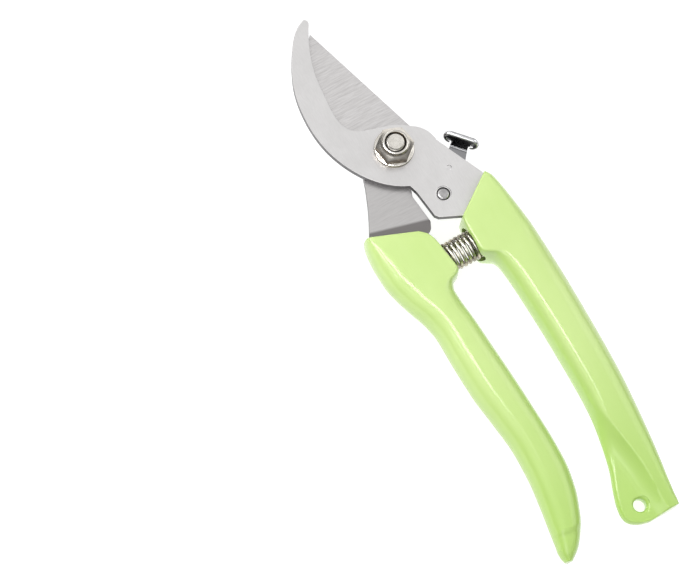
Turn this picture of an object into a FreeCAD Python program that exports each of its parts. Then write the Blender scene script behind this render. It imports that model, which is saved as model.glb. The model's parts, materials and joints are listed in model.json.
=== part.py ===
import FreeCAD, Part
import math
import os

import Sketcher

from FreeCAD import Placement, Rotation, Vector

# Bypass pruner with a curved counter-blade, a spring between the handles and a thumb catch.
# Every sub-part is drawn in one working frame and then moved together into the row's frame:
#   x = 0, y = 0 is the pivot axis, +Y points to the tip of the jaw, +Z points to the nut side.
# The row's origin is the centre of the underside of the whole tool's box.

# ----------------------------------------------------------------------------------------------
# Driving dimensions, millimetres and degrees
# ----------------------------------------------------------------------------------------------
TOLERANCE = 1e-6

DIMENSIONS = {
    # flat plates, stacked about the parting height where they slide on each other
    "parting_height": 8.5,
    "plate_thickness": 2.5,
    "slide_gap": 0.05,
    "fit_gap": 0.02,
    # pivot hardware, M6
    "bolt_radius": 3.0,
    "bolt_end_radius": 2.55,
    "bolt_end_height": 17.5,
    "bolt_head_flats": 10.0,
    "bolt_head_height": 4.0,
    "running_gap": 0.05,
    "washer_radius": 6.5,
    "washer_thickness": 1.0,
    "nut_flats": 11.0,
    "nut_height": 6.0,
    "nut_hex_height": 3.9,
    "nut_turn": 38.5,
    "nut_flange_radius": 6.6,
    "nut_flange_edge": 0.6,
    "nut_flange_height": 1.4,
    "nut_collar_radius": 4.45,
    "nut_collar_rounding": 0.4,
    "nut_mouth_radius": 3.5,
    "nut_mouth_depth": 1.0,
    # thumb catch and its rivet
    "rivet_x": 6.1,
    "rivet_y": -21.0,
    "rivet_radius": 2.2,
    "rivet_end_drop": 0.1,
    "rivet_dome_radius": 3.2,
    "rivet_dome_height": 1.7,
    "rivet_shoulder_radius": 2.3,
    "rivet_shoulder_height": 0.61,
    "countersink_depth": 0.35,
    "detent_x": 12.3,
    "detent_y": -14.2,
    "detent_radius": 0.8,
    "detent_depth": 0.4,
    "lever_turn": 41.6,
    "lever_thickness": 2.0,
    "lever_eye_radius": 5.2,
    "tab_distance": 18.0,
    "tab_lean": 20.0,
    "tab_thickness": 1.5,
    "tab_neck_width": 5.8,
    "tab_width": 11.4,
    "tab_height": 7.6,
    "tab_head_low": 3.19,
    "tab_corner": 2.2,
    # return spring, wound about a line parallel to X
    "spring_y": -40.0,
    "spring_coil_radius": 4.55,
    "spring_wire_radius": 0.6,
    "spring_turns": 10.0,
    "spring_left_end": -7.2,
    "spring_right_end": 10.3,
    # moulded grips
    "head_height": 14.2,
    "socket_radius": 5.6,
    "blade_boss_face": -3.4,
    "hook_boss_face": 5.4,
    "socket_end_gap": 0.1,
    "web_thickness": 4.4,
    "hang_hole_x": 6.5,
    "hang_hole_y": -138.7,
    "hang_hole_radius": 2.1,
    # sharpened edge of the blade, ground on the back face only
    "bevel_clear": 0.1,
}

# Grip stations from head to end: the two side points of the section, its height, and how much of
# its shorter side each rounded corner takes.
HOOK_GRIP_STATIONS = [
    ((7.6, -30.1), (22.0, -21.0), 13.0, 0.30),
    ((7.6, -32.5), (24.4, -25.0), 14.6, 0.34),
    ((8.4, -38.5), (25.4, -35.5), 15.2, 0.38),
    ((9.2, -48.0), (26.1, -48.0), 15.4, 0.40),
    ((10.1, -66.0), (26.2, -66.0), 15.4, 0.42),
    ((9.6, -90.0), (25.2, -90.0), 15.2, 0.42),
    ((9.2, -105.0), (24.0, -105.0), 14.8, 0.42),
    ((11.0, -115.0), (22.7, -115.0), 14.0, 0.40),
    ((12.8, -127.0), (21.1, -127.0), 12.4, 0.38),
    ((12.9, -143.7), (17.6, -143.7), 8.0, 0.36),
]
BLADE_GRIP_STATIONS = [
    ((-24.2, -23.2), (-7.2, -29.9), 13.0, 0.30),
    ((-25.8, -27.2), (-5.8, -34.2), 14.6, 0.34),
    ((-26.6, -34.5), (-6.4, -38.5), 15.2, 0.38),
    ((-24.6, -46.5), (-7.5, -47.0), 15.4, 0.40),
    ((-20.8, -60.5), (-7.0, -59.5), 15.2, 0.42),
    ((-21.0, -76.0), (-6.2, -75.5), 15.2, 0.42),
    ((-19.0, -98.0), (-5.9, -98.0), 14.8, 0.42),
    ((-19.2, -114.5), (-6.4, -115.5), 14.0, 0.42),
    ((-21.3, -126.5), (-9.3, -128.0), 12.4, 0.42),
    ((-23.0, -136.0), (-14.6, -138.2), 9.6, 0.42),
    ((-23.2, -141.4), (-20.2, -142.9), 5.0, 0.40),
]


def make_sheet(document):
    """Put the driving dimensions in a spreadsheet whose aliases drive every feature."""
    sheet = document.addObject("Spreadsheet::Sheet", "dims")
    sheet.Label = "dims"
    for row, (alias, value) in enumerate(DIMENSIONS.items(), start=1):
        sheet.set("A%d" % row, alias)
        sheet.set("B%d" % row, str(value))
        sheet.setAlias("B%d" % row, alias)
    document.recompute()
    return sheet


# ----------------------------------------------------------------------------------------------
# Outline pieces for sketches: straight runs, round stretches and smooth curves
# ----------------------------------------------------------------------------------------------
def point(xy):
    return Vector(xy[0], xy[1], 0.0)


def line(start, end):
    return Part.LineSegment(point(start), point(end))


def polyline(points):
    return [line(points[i], points[i + 1]) for i in range(len(points) - 1)]


def arc(start, middle, end):
    return Part.Arc(point(start), point(middle), point(end))


def curve(points):
    """A smooth curve through a few points."""
    spline = Part.BSplineCurve()
    spline.interpolate([point(xy) for xy in points])
    return spline


def on_circle(centre, radius, degrees):
    angle = math.radians(degrees)
    return (centre[0] + radius * math.cos(angle), centre[1] + radius * math.sin(angle))


def arc_about(centre, radius, start_degrees, end_degrees):
    middle_degrees = 0.5 * (start_degrees + end_degrees)
    return arc(
        on_circle(centre, radius, start_degrees),
        on_circle(centre, radius, middle_degrees),
        on_circle(centre, radius, end_degrees),
    )


def hexagon(flats, turn_degrees):
    corner_radius = flats / math.sqrt(3.0)
    corners = [on_circle((0.0, 0.0), corner_radius, turn_degrees + 60.0 * i) for i in range(7)]
    return polyline(corners)


def rounded_box(width, height, roundness):
    """A rectangle about the sketch origin whose corners are large arcs."""
    radius = roundness * min(width, height)
    x_side = 0.5 * width
    y_side = 0.5 * height
    x_centre = x_side - radius
    y_centre = y_side - radius
    return [
        line((-x_centre, -y_side), (x_centre, -y_side)),
        arc_about((x_centre, -y_centre), radius, -90.0, 0.0),
        line((x_side, -y_centre), (x_side, y_centre)),
        arc_about((x_centre, y_centre), radius, 0.0, 90.0),
        line((x_centre, y_side), (-x_centre, y_side)),
        arc_about((-x_centre, y_centre), radius, 90.0, 180.0),
        line((-x_side, y_centre), (-x_side, -y_centre)),
        arc_about((-x_centre, -y_centre), radius, 180.0, 270.0),
    ]


# ----------------------------------------------------------------------------------------------
# Bodies, sketches and features
# ----------------------------------------------------------------------------------------------
def make_body(document, name):
    body = document.addObject("PartDesign::Body", name + "_body")
    body.Label = name
    return body


def origin_plane(body, role):
    return [item for item in body.Origin.OriginFeatures if item.Role == role][0]


def make_sketch(body, name, role, geometry, heights=None):
    """A sketch on one of the body's own planes; heights is the expression for its offset."""
    sketch = body.newObject("Sketcher::SketchObject", name)
    sketch.AttachmentSupport = [(origin_plane(body, role), "")]
    sketch.MapMode = "FlatFace"
    if heights is not None:
        sketch.setExpression("AttachmentOffset.Base.z", heights)
    sketch.addGeometry(geometry, False)
    return sketch


def make_circle_sketch(body, name, role, centre, radius, heights=None):
    """A circle whose radius and place are cells of the sheet."""
    sketch = make_sketch(body, name, role, [Part.Circle(Vector(0, 0, 0), Vector(0, 0, 1), 1.0)], heights)
    radius_constraint = sketch.addConstraint(Sketcher.Constraint("Radius", 0, 1.0))
    sketch.setExpression("Constraints[%d]" % radius_constraint, radius)
    sketch.addConstraint(Sketcher.Constraint("Coincident", 0, 3, -1, 1))
    if centre is not None:
        sketch.setExpression("AttachmentOffset.Base.x", centre[0])
        sketch.setExpression("AttachmentOffset.Base.y", centre[1])
    return sketch


def make_pad(body, sketch, name, length, downwards=False):
    pad = body.newObject("PartDesign::Pad", name)
    pad.Profile = sketch
    pad.setExpression("Length", length)
    pad.Reversed = downwards
    return pad


def make_pocket(body, sketch, name, length, upwards=False):
    """Cut along the sketch's -normal, or along +normal when upwards is set."""
    pocket = body.newObject("PartDesign::Pocket", name)
    pocket.Profile = sketch
    pocket.setExpression("Length", length)
    pocket.Reversed = upwards
    return pocket


def check_cut(document, pocket):
    """A pocket that points away from the solid removes nothing and raises nothing."""
    document.recompute()
    before = pocket.BaseFeature.Shape.Volume
    after = pocket.Shape.Volume
    if not after < before - TOLERANCE:
        raise RuntimeError("%s cuts nothing" % pocket.Name)


def make_revolution(body, sketch, name):
    """Turn a half-section, drawn on the XZ plane, once round the body's Z axis."""
    axis = [item for item in body.Origin.OriginFeatures if item.Role == "Z_Axis"][0]
    revolution = body.newObject("PartDesign::Revolution", name)
    revolution.Profile = sketch
    revolution.ReferenceAxis = (axis, [""])
    revolution.Angle = 360.0
    return revolution


# ----------------------------------------------------------------------------------------------
# Steel plates
# ----------------------------------------------------------------------------------------------
def hook_plate_outline():
    """Curved counter-blade, pivot field, catch field, and the tang that the grip is moulded on."""
    tip = (-3.0, 53.3)
    inner_tip = (-2.2, 51.0)
    throat = (-8.9, 12.2)
    shoulder = (-2.0, -13.6)
    outer_edge = curve([
        tip, (-7.1, 51.1), (-12.3, 44.7), (-18.0, 33.6), (-20.2, 22.2), (-19.7, 11.4),
        (-15.6, -0.2), (-9.2, -8.8), shoulder,
    ])
    foot = [
        shoulder, (-1.2, -16.7), (-0.3, -26.0), (0.7, -27.3), (7.2, -30.3), (12.5, -33.5), (12.5, -38.0),
        (5.0, -38.0), (5.0, -42.0), (12.5, -42.0), (12.5, -85.0), (21.0, -85.0), (22.0, -32.0),
        (20.9, -20.6), (15.5, -8.3), (13.7, -4.1),
    ]
    back_corner = arc((13.7, -4.1), (12.1, 1.1), (8.8, 4.1))
    shelf = curve([(8.8, 4.1), (6.0, 6.3), (1.4, 8.1), (-4.3, 9.7), throat])
    hollow_edge = curve([
        throat, (-10.5, 15.2), (-10.7, 24.0), (-8.7, 36.9), (-5.0, 46.2), inner_tip,
    ])
    nose = arc(inner_tip, (-2.1, 52.5), tip)
    return [outer_edge] + polyline(foot) + [back_corner, shelf, hollow_edge, nose]


def blade_plate_outline():
    """Cutting blade, round pivot field with the catch tooth, and the tang of the other grip."""
    tip = (-3.0, 48.6)
    heel = (-12.6, -1.5)
    pivot_round = 10.32
    spine_turn, round_turn = 15.9, -28.0
    tooth_start, tooth_end, tooth_foot = -40.5, -51.0, -56.0
    tooth_radius, foot_radius = 15.6, 12.4
    centre = (0.0, 0.0)
    edge = curve([heel, (-13.6, 8.0), (-13.6, 19.0), (-12.0, 31.0), (-8.6, 41.0), tip])
    spine_end = on_circle(centre, pivot_round, spine_turn)
    round_end = on_circle(centre, pivot_round, round_turn)
    tooth_top = on_circle(centre, tooth_radius, tooth_start)
    tooth_low = on_circle(centre, tooth_radius, tooth_end)
    tail = [
        tooth_low, on_circle(centre, foot_radius, tooth_foot), (-1.6, -14.0), (-2.6, -16.5),
        (-2.1, -22.8), (-1.8, -26.5),
        (-3.0, -28.8), (-8.4, -31.5), (-9.5, -34.0), (-9.5, -38.0), (-1.5, -38.0), (-1.5, -42.0),
        (-9.5, -42.0), (-9.5, -85.0), (-17.5, -85.0), (-17.5, -52.0), (-22.5, -36.0), (-22.4, -24.0),
        (-21.6, -21.2), (-19.0, -16.5), (-16.7, -11.9), (-14.2, -6.1), heel,
    ]
    return [
        edge,
        line(tip, spine_end),
        arc_about(centre, pivot_round, spine_turn, round_turn),
        line(round_end, tooth_top),
        arc_about(centre, tooth_radius, tooth_start, tooth_end),
    ] + polyline(tail)


def make_hook_plate(document):
    body = make_body(document, "hook_plate")
    outline = make_sketch(body, "hook_outline", "XY_Plane", hook_plate_outline(), "dims.parting_height")
    make_pad(body, outline, "hook_sheet", "dims.plate_thickness")
    top = "dims.parting_height + dims.plate_thickness"
    hole_radius = "dims.bolt_radius + dims.fit_gap"
    bolt_hole = make_circle_sketch(body, "hook_bolt_hole", "XY_Plane", None, hole_radius, top)
    rivet_place = ("dims.rivet_x", "dims.rivet_y")
    rivet_radius = "dims.rivet_radius + dims.fit_gap"
    rivet_hole = make_circle_sketch(body, "hook_rivet_hole", "XY_Plane", rivet_place, rivet_radius, top)
    sink_radius = "dims.rivet_radius + dims.countersink_depth"
    sink = make_circle_sketch(body, "hook_rivet_sink", "XY_Plane", rivet_place, sink_radius, top)
    detent_place = ("dims.detent_x", "dims.detent_y")
    detent = make_circle_sketch(body, "hook_detent", "XY_Plane", detent_place, "dims.detent_radius", top)
    cuts = [
        make_pocket(body, bolt_hole, "hook_bolt_cut", "dims.plate_thickness"),
        make_pocket(body, rivet_hole, "hook_rivet_cut", "dims.plate_thickness"),
        make_pocket(body, sink, "hook_sink_cut", "dims.countersink_depth"),
        make_pocket(body, detent, "hook_detent_cut", "dims.detent_depth"),
    ]
    for cut in cuts:
        check_cut(document, cut)
    return body


def make_blade_plate(document):
    body = make_body(document, "blade_plate")
    top = "dims.parting_height - dims.slide_gap"
    outline = make_sketch(body, "blade_outline", "XY_Plane", blade_plate_outline(), top)
    make_pad(body, outline, "blade_sheet", "dims.plate_thickness", downwards=True)
    hole_radius = "dims.bolt_radius + dims.running_gap"
    hole = make_circle_sketch(body, "blade_bolt_hole", "XY_Plane", None, hole_radius, top)
    check_cut(document, make_pocket(body, hole, "blade_bolt_cut", "dims.plate_thickness"))
    add_bevel(document, body)
    return body


def bevel_section(edge_points):
    """Everything outside the curve that the grinding plane follows at one height."""
    low, high = edge_points[0], edge_points[-1]
    return [curve(edge_points)] + polyline([high, (-9.0, 54.0), (-26.0, 50.0), (-26.0, -4.0), low])


def add_bevel(document, body):
    """Grind the cutting edge: a sloping cut on the back face that leaves a thin edge at the front."""
    inner_line = [(-13.6, -1.0), (-9.6, 8.0), (-9.0, 19.0), (-7.6, 30.0), (-4.9, 39.5), (-2.4, 50.0)]
    outer_line = [(-14.2, -1.5), (-14.7, 8.0), (-14.6, 19.2), (-13.0, 31.4), (-9.4, 41.8), (-3.6, 50.4)]
    back = "dims.parting_height - dims.slide_gap - dims.plate_thickness"
    inner_height = back + " - dims.bevel_clear"
    inner = make_sketch(body, "bevel_inner", "XY_Plane", bevel_section(inner_line), inner_height)
    front = "dims.parting_height - dims.slide_gap + dims.bevel_clear"
    outer = make_sketch(body, "bevel_outer", "XY_Plane", bevel_section(outer_line), front)
    bevel = body.newObject("PartDesign::SubtractiveLoft", "blade_bevel")
    bevel.Profile = inner
    bevel.Sections = [outer]
    bevel.Ruled = True
    check_cut(document, bevel)


# ----------------------------------------------------------------------------------------------
# Pivot hardware
# ----------------------------------------------------------------------------------------------
def make_pivot_bolt(document, size):
    body = make_body(document, "pivot_bolt")
    head_top = "dims.parting_height - dims.slide_gap - dims.plate_thickness - dims.washer_thickness"
    head_outline = hexagon(size["bolt_head_flats"], 0.0)
    hexagon_sketch = make_sketch(body, "bolt_hexagon", "XY_Plane", head_outline, head_top)
    make_pad(body, hexagon_sketch, "bolt_head", "dims.bolt_head_height", downwards=True)
    shank_sketch = make_circle_sketch(
        body, "bolt_shank_circle", "XY_Plane", None, "dims.bolt_radius", head_top
    )
    reach = "dims.bolt_end_height - dims.parting_height + dims.slide_gap + dims.plate_thickness"
    shank = make_pad(body, shank_sketch, "bolt_shank", reach + " + dims.washer_thickness")
    document.recompute()
    end = size["bolt_end_height"]
    names = [
        "Edge%d" % index
        for index, edge in enumerate(shank.Shape.Edges, start=1)
        if abs(edge.BoundBox.ZMin - end) < TOLERANCE and abs(edge.BoundBox.ZMax - end) < TOLERANCE
    ]
    chamfer = body.newObject("PartDesign::Chamfer", "bolt_end")
    chamfer.Base = (shank, names)
    chamfer.setExpression("Size", "dims.bolt_radius - dims.bolt_end_radius")
    return body


def make_pivot_washer(document):
    body = make_body(document, "pivot_washer")
    top = "dims.parting_height - dims.slide_gap - dims.plate_thickness"
    disc = make_circle_sketch(body, "washer_circle", "XY_Plane", None, "dims.washer_radius", top)
    make_pad(body, disc, "washer_disc", "dims.washer_thickness", downwards=True)
    hole_radius = "dims.bolt_radius + dims.running_gap"
    hole = make_circle_sketch(body, "washer_hole", "XY_Plane", None, hole_radius, top)
    check_cut(document, make_pocket(body, hole, "washer_cut", "dims.washer_thickness"))
    return body


def make_pivot_nut(document, size):
    """Hexagon nut with a flange under it and a round collar above it, dished round the bolt."""
    body = make_body(document, "pivot_nut")
    base = size["parting_height"] + size["plate_thickness"]
    top = base + size["nut_height"]
    flange_radius = size["nut_flange_radius"]
    cone_radius = 0.5 * size["nut_flats"]
    collar_radius = size["nut_collar_radius"]
    rounding = size["nut_collar_rounding"]
    turned_section = polyline([
        (0.0, base),
        (flange_radius, base),
        (flange_radius, base + size["nut_flange_edge"]),
        (cone_radius, base + size["nut_flange_height"]),
        (collar_radius, base + size["nut_flange_height"]),
        (collar_radius, top - rounding),
        (collar_radius - rounding, top),
        (0.0, top),
        (0.0, base),
    ])
    turned = make_sketch(body, "nut_turned_section", "XZ_Plane", turned_section)
    make_revolution(body, turned, "nut_flange_and_collar")
    seat = "dims.parting_height + dims.plate_thickness"
    flats = make_sketch(body, "nut_hexagon", "XY_Plane", hexagon(size["nut_flats"], size["nut_turn"]), seat)
    make_pad(body, flats, "nut_hex", "dims.nut_hex_height")
    crown = seat + " + dims.nut_height"
    hole = make_circle_sketch(body, "nut_hole", "XY_Plane", None, "dims.bolt_radius + dims.fit_gap", crown)
    check_cut(document, make_pocket(body, hole, "nut_cut", "dims.nut_height"))
    mouth = make_circle_sketch(body, "nut_mouth", "XY_Plane", None, "dims.nut_mouth_radius", crown)
    check_cut(document, make_pocket(body, mouth, "nut_mouth_cut", "dims.nut_mouth_depth"))
    return body


# ----------------------------------------------------------------------------------------------
# Thumb catch
# ----------------------------------------------------------------------------------------------
def make_latch_rivet(document, size):
    """Rivet with a domed head at the back, closed flush in the front face of the hook plate."""
    body = make_body(document, "latch_rivet")
    lever_back = size["parting_height"] - size["slide_gap"] - size["lever_thickness"]
    dome_top = lever_back - size["slide_gap"]
    dome_low = dome_top - size["rivet_dome_height"]
    dome_radius = size["rivet_dome_radius"]
    shoulder = (size["rivet_shoulder_radius"], dome_low + size["rivet_shoulder_height"])
    shank_radius = size["rivet_radius"]
    end = size["parting_height"] + size["plate_thickness"] - size["rivet_end_drop"]
    section = [
        arc((0.0, dome_low), shoulder, (dome_radius, dome_top)),
        line((dome_radius, dome_top), (shank_radius, dome_top)),
        line((shank_radius, dome_top), (shank_radius, end)),
        line((shank_radius, end), (0.0, end)),
        line((0.0, end), (0.0, dome_low)),
    ]
    make_revolution(body, make_sketch(body, "rivet_section", "XZ_Plane", section), "rivet_turned")
    return body


def lever_outline(size):
    """Eye round the rivet, nose that stops the blade's tooth, and neck out to the thumb tab."""
    eye = size["lever_eye_radius"]
    half_neck = 0.5 * size["tab_neck_width"]
    reach = size["tab_distance"]
    eye_left, eye_right = 78.0, -80.0
    start = on_circle((0.0, 0.0), eye, eye_left)
    end = on_circle((0.0, 0.0), eye, eye_right)
    return [
        Part.Arc(point(start), point((-eye, 0.0)), point(end)),
    ] + polyline([end, (reach, -half_neck), (reach, half_neck), (13.0, 2.3), (9.3, 1.9), (8.7, 3.8), start])


def tab_outline(size):
    """Mushroom outline of the thumb tab, seen square on: narrow neck below, rounded head above."""
    half_neck = 0.5 * size["tab_neck_width"]
    half_head = 0.5 * size["tab_width"]
    height = size["tab_height"]
    head_low = size["tab_head_low"]
    corner = size["tab_corner"]
    return [
        line((-half_neck, 0.0), (half_neck, 0.0)),
        line((half_neck, 0.0), (half_neck, head_low)),
        line((half_neck, head_low), (half_head - corner, head_low)),
        arc_about((half_head - corner, head_low + corner), corner, -90.0, 0.0),
        line((half_head, head_low + corner), (half_head, height - corner)),
        arc_about((half_head - corner, height - corner), corner, 0.0, 90.0),
        line((half_head - corner, height), (corner - half_head, height)),
        arc_about((corner - half_head, height - corner), corner, 90.0, 180.0),
        line((-half_head, height - corner), (-half_head, head_low + corner)),
        arc_about((corner - half_head, head_low + corner), corner, 180.0, 270.0),
        line((corner - half_head, head_low), (-half_neck, head_low)),
        line((-half_neck, head_low), (-half_neck, 0.0)),
    ]


def make_latch_lever(document, size):
    """The lever lies against the back of the hook plate and its tab stands up past the plate's edge."""
    body = make_body(document, "latch_lever")
    top = "dims.parting_height - dims.slide_gap"
    outline = make_sketch(body, "lever_outline", "XY_Plane", lever_outline(size), top)
    make_pad(body, outline, "lever_sheet", "dims.lever_thickness", downwards=True)
    hole_radius = "dims.rivet_radius + dims.running_gap"
    hole = make_circle_sketch(body, "lever_hole", "XY_Plane", None, hole_radius, top)
    check_cut(document, make_pocket(body, hole, "lever_cut", "dims.lever_thickness"))

    tab = make_sketch(body, "tab_outline", "XY_Plane", tab_outline(size))
    lean = math.radians(size["tab_lean"])
    across = Vector(0, -1, 0)
    upwards = Vector(math.sin(lean), 0, math.cos(lean))
    foot = size["parting_height"] - size["slide_gap"] - size["lever_thickness"]
    tab.AttachmentOffset = Placement(
        Vector(size["tab_distance"], 0, foot),
        Rotation(across, upwards, across.cross(upwards), "XYZ"),
    )
    make_pad(body, tab, "tab_sheet", "dims.tab_thickness")
    return body


# ----------------------------------------------------------------------------------------------
# Return spring
# ----------------------------------------------------------------------------------------------
def make_return_spring(document, size):
    """Round wire wound about a line parallel to X, as the closed handles hold it."""
    wire = size["spring_wire_radius"]
    coil = size["spring_coil_radius"]
    length = size["spring_right_end"] - size["spring_left_end"] - 2.0 * wire
    helix = Part.makeHelix(length / size["spring_turns"], length, coil)
    start = Vector(coil, 0, 0)
    section = Part.Wire([Part.makeCircle(wire, start, Vector(0, 1, 0))])
    sweep = Part.BRepOffsetAPI.MakePipeShell(Part.Wire(helix.Edges))
    sweep.setFrenetMode(True)
    sweep.add(section)
    sweep.build()
    sweep.makeSolid()
    spring = document.addObject("Part::Feature", "return_spring_wire")
    spring.Label = "return_spring"
    turned = sweep.shape()
    turned.rotate(Vector(0, 0, 0), Vector(0, 1, 0), 90.0)
    turned.translate(Vector(size["spring_left_end"] + wire, size["spring_y"], size["parting_height"]))
    spring.Shape = Part.Solid(turned) if turned.ShapeType == "Shell" else turned
    return spring


# ----------------------------------------------------------------------------------------------
# Moulded grips
# ----------------------------------------------------------------------------------------------
def station_placement(left, right, height):
    """Sketch x runs from the left to the right side point, sketch y runs up."""
    across = point(right) - point(left)
    across.normalize()
    up = Vector(0, 0, 1)
    middle = (point(left) + point(right)) * 0.5
    return Placement(middle + Vector(0, 0, height), Rotation(across, up, across.cross(up), "XYZ"))


def make_grip_bar(body, prefix, stations, size):
    sections = []
    for index, (left, right, height, roundness) in enumerate(stations):
        width = (point(right) - point(left)).Length
        geometry = rounded_box(width, height, roundness)
        sketch = make_sketch(body, "%s_section_%d" % (prefix, index), "XY_Plane", geometry)
        sketch.AttachmentOffset = station_placement(left, right, size["parting_height"])
        sections.append(sketch)
    bar = body.newObject("PartDesign::AdditiveLoft", prefix + "_bar")
    bar.Profile = sections[0]
    bar.Sections = sections[1:]
    bar.Ruled = False
    return bar


def add_spring_seat(document, body, prefix, block_outline, boss_face, floor, faces_left):
    """The flat-sided block of the grip's head, with a blind socket along X for one end of the spring."""
    low = "dims.parting_height - dims.head_height / 2"
    block = make_sketch(body, prefix + "_block_outline", "XY_Plane", polyline(block_outline), low)
    make_pad(body, block, prefix + "_block", "dims.head_height")
    centre = ("dims.spring_y", "dims.parting_height")
    socket = make_circle_sketch(
        body, prefix + "_socket_circle", "YZ_Plane", centre, "dims.socket_radius", floor
    )
    depth = "abs(%s - (%s)) + dims.socket_radius" % (floor, boss_face)
    check_cut(document, make_pocket(body, socket, prefix + "_socket", depth, upwards=not faces_left))


def hang_web_outline():
    """Thin end of the hook grip, square at the outer side and round at the inner side."""
    return [
        curve([(10.5, -104.0), (8.1, -110.0), (6.2, -118.5), (2.9, -129.5), (0.6, -135.0)]),
        curve([(0.6, -135.0), (0.5, -139.8), (3.6, -143.7), (8.0, -144.9)]),
    ] + polyline([(8.0, -144.9), (17.0, -143.9), (16.6, -118.0), (14.0, -104.0), (10.5, -104.0)])


def make_hook_grip(document, plate, size):
    body = make_body(document, "hook_grip_moulding")
    make_grip_bar(body, "hook_grip", HOOK_GRIP_STATIONS, size)
    floor = "dims.spring_right_end + dims.socket_end_gap"
    web_low = "dims.parting_height - dims.web_thickness / 2"
    web = make_sketch(body, "hook_grip_web_outline", "XY_Plane", hang_web_outline(), web_low)
    make_pad(body, web, "hook_grip_web", "dims.web_thickness")
    hole_place = ("dims.hang_hole_x", "dims.hang_hole_y")
    hole = make_circle_sketch(body, "hang_hole", "XY_Plane", hole_place, "dims.hang_hole_radius", web_low)
    check_cut(document, make_pocket(body, hole, "hang_hole_cut", "dims.web_thickness", upwards=True))
    block = [
        (7.4, -31.2), (6.3, -33.5), (5.4, -46.3), (6.9, -48.0), (9.6, -49.2), (16.0, -49.2), (16.0, -26.0),
        (7.4, -31.2),
    ]
    add_spring_seat(document, body, "hook_grip", block, "dims.hook_boss_face", floor, faces_left=True)
    return cut_tang_slot(document, "hook_grip", body, plate)


def make_blade_grip(document, plate, size):
    body = make_body(document, "blade_grip_moulding")
    make_grip_bar(body, "blade_grip", BLADE_GRIP_STATIONS, size)
    floor = "dims.spring_left_end - dims.socket_end_gap"
    block = [
        (-7.2, -30.6), (-5.6, -32.2), (-3.4, -44.0), (-3.8, -46.4), (-7.6, -49.4), (-14.0, -49.4),
        (-14.0, -27.9),
        (-7.2, -30.6),
    ]
    add_spring_seat(document, body, "blade_grip", block, "dims.blade_boss_face", floor, faces_left=False)
    return cut_tang_slot(document, "blade_grip", body, plate)


def cut_tang_slot(document, name, moulding, plate):
    """The grip is moulded round the plate's tang, so the slot is exactly the plate."""
    grip = document.addObject("Part::Cut", name + "_cut")
    grip.Label = name
    grip.Base = moulding
    grip.Tool = plate
    return grip


# ----------------------------------------------------------------------------------------------
# The whole tool
# ----------------------------------------------------------------------------------------------
def place_in_row_frame(document, subparts, moved, lever, rivet, size):
    """Move the origin to the centre of the underside of the box that holds the whole tool."""
    lever.Placement = Placement(
        Vector(size["rivet_x"], size["rivet_y"], 0),
        Rotation(Vector(0, 0, 1), size["lever_turn"]),
    )
    rivet.Placement = Placement(Vector(size["rivet_x"], size["rivet_y"], 0), Rotation())
    document.recompute()
    box = FreeCAD.BoundBox()
    for item in subparts:
        box.add(item.Shape.optimalBoundingBox(False))
    shift = Vector(-box.Center.x, -box.Center.y, -box.ZMin)
    for item in moved:
        item.Placement.Base = item.Placement.Base + shift
    document.recompute()
    return shift


def check_document(document, subparts):
    for item in document.Objects:
        if "Invalid" in item.State or "Error" in item.State:
            raise RuntimeError("%s failed: %s" % (item.Name, item.State))
    for item in subparts:
        if item.Shape.isNull() or not item.Shape.isValid():
            raise RuntimeError("%s has no valid shape" % item.Label)
        if len(item.Shape.Solids) != 1:
            raise RuntimeError("%s has %d solids" % (item.Label, len(item.Shape.Solids)))


def main():
    document = FreeCAD.newDocument("bypass_pruner")
    sheet = make_sheet(document)
    size = {alias: float(sheet.get(alias)) for alias in DIMENSIONS}
    hook_plate = make_hook_plate(document)
    blade_plate = make_blade_plate(document)
    bolt = make_pivot_bolt(document, size)
    washer = make_pivot_washer(document)
    nut = make_pivot_nut(document, size)
    rivet = make_latch_rivet(document, size)
    lever = make_latch_lever(document, size)
    spring = make_return_spring(document, size)
    hook_grip = make_hook_grip(document, hook_plate, size)
    blade_grip = make_blade_grip(document, blade_plate, size)
    subparts = [hook_plate, hook_grip, bolt, washer, nut, rivet, lever, spring, blade_plate, blade_grip]
    moved = [
        hook_plate, bolt, washer, nut, rivet, lever, spring, blade_plate, hook_grip.Base, blade_grip.Base,
    ]
    shift = place_in_row_frame(document, subparts, moved, lever, rivet, size)
    check_document(document, subparts)
    print("pivot axis in the row frame: x %.3f y %.3f, parting height %.3f" % (
        shift.x, shift.y, shift.z + size["parting_height"]))
    os.makedirs("parts", exist_ok=True)
    for item in subparts:
        item.Shape.exportStep("parts/%s.step" % item.Label)
        box = item.Shape.BoundBox
        print("%-14s volume %8.1f  x %.1f..%.1f  y %.1f..%.1f  z %.1f..%.1f" % (
            item.Label, item.Shape.Volume, box.XMin, box.XMax, box.YMin, box.YMax, box.ZMin, box.ZMax))


main()
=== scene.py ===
import json
import math

import bmesh
import bpy
import numpy as np
from mathutils import Matrix, Vector


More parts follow.
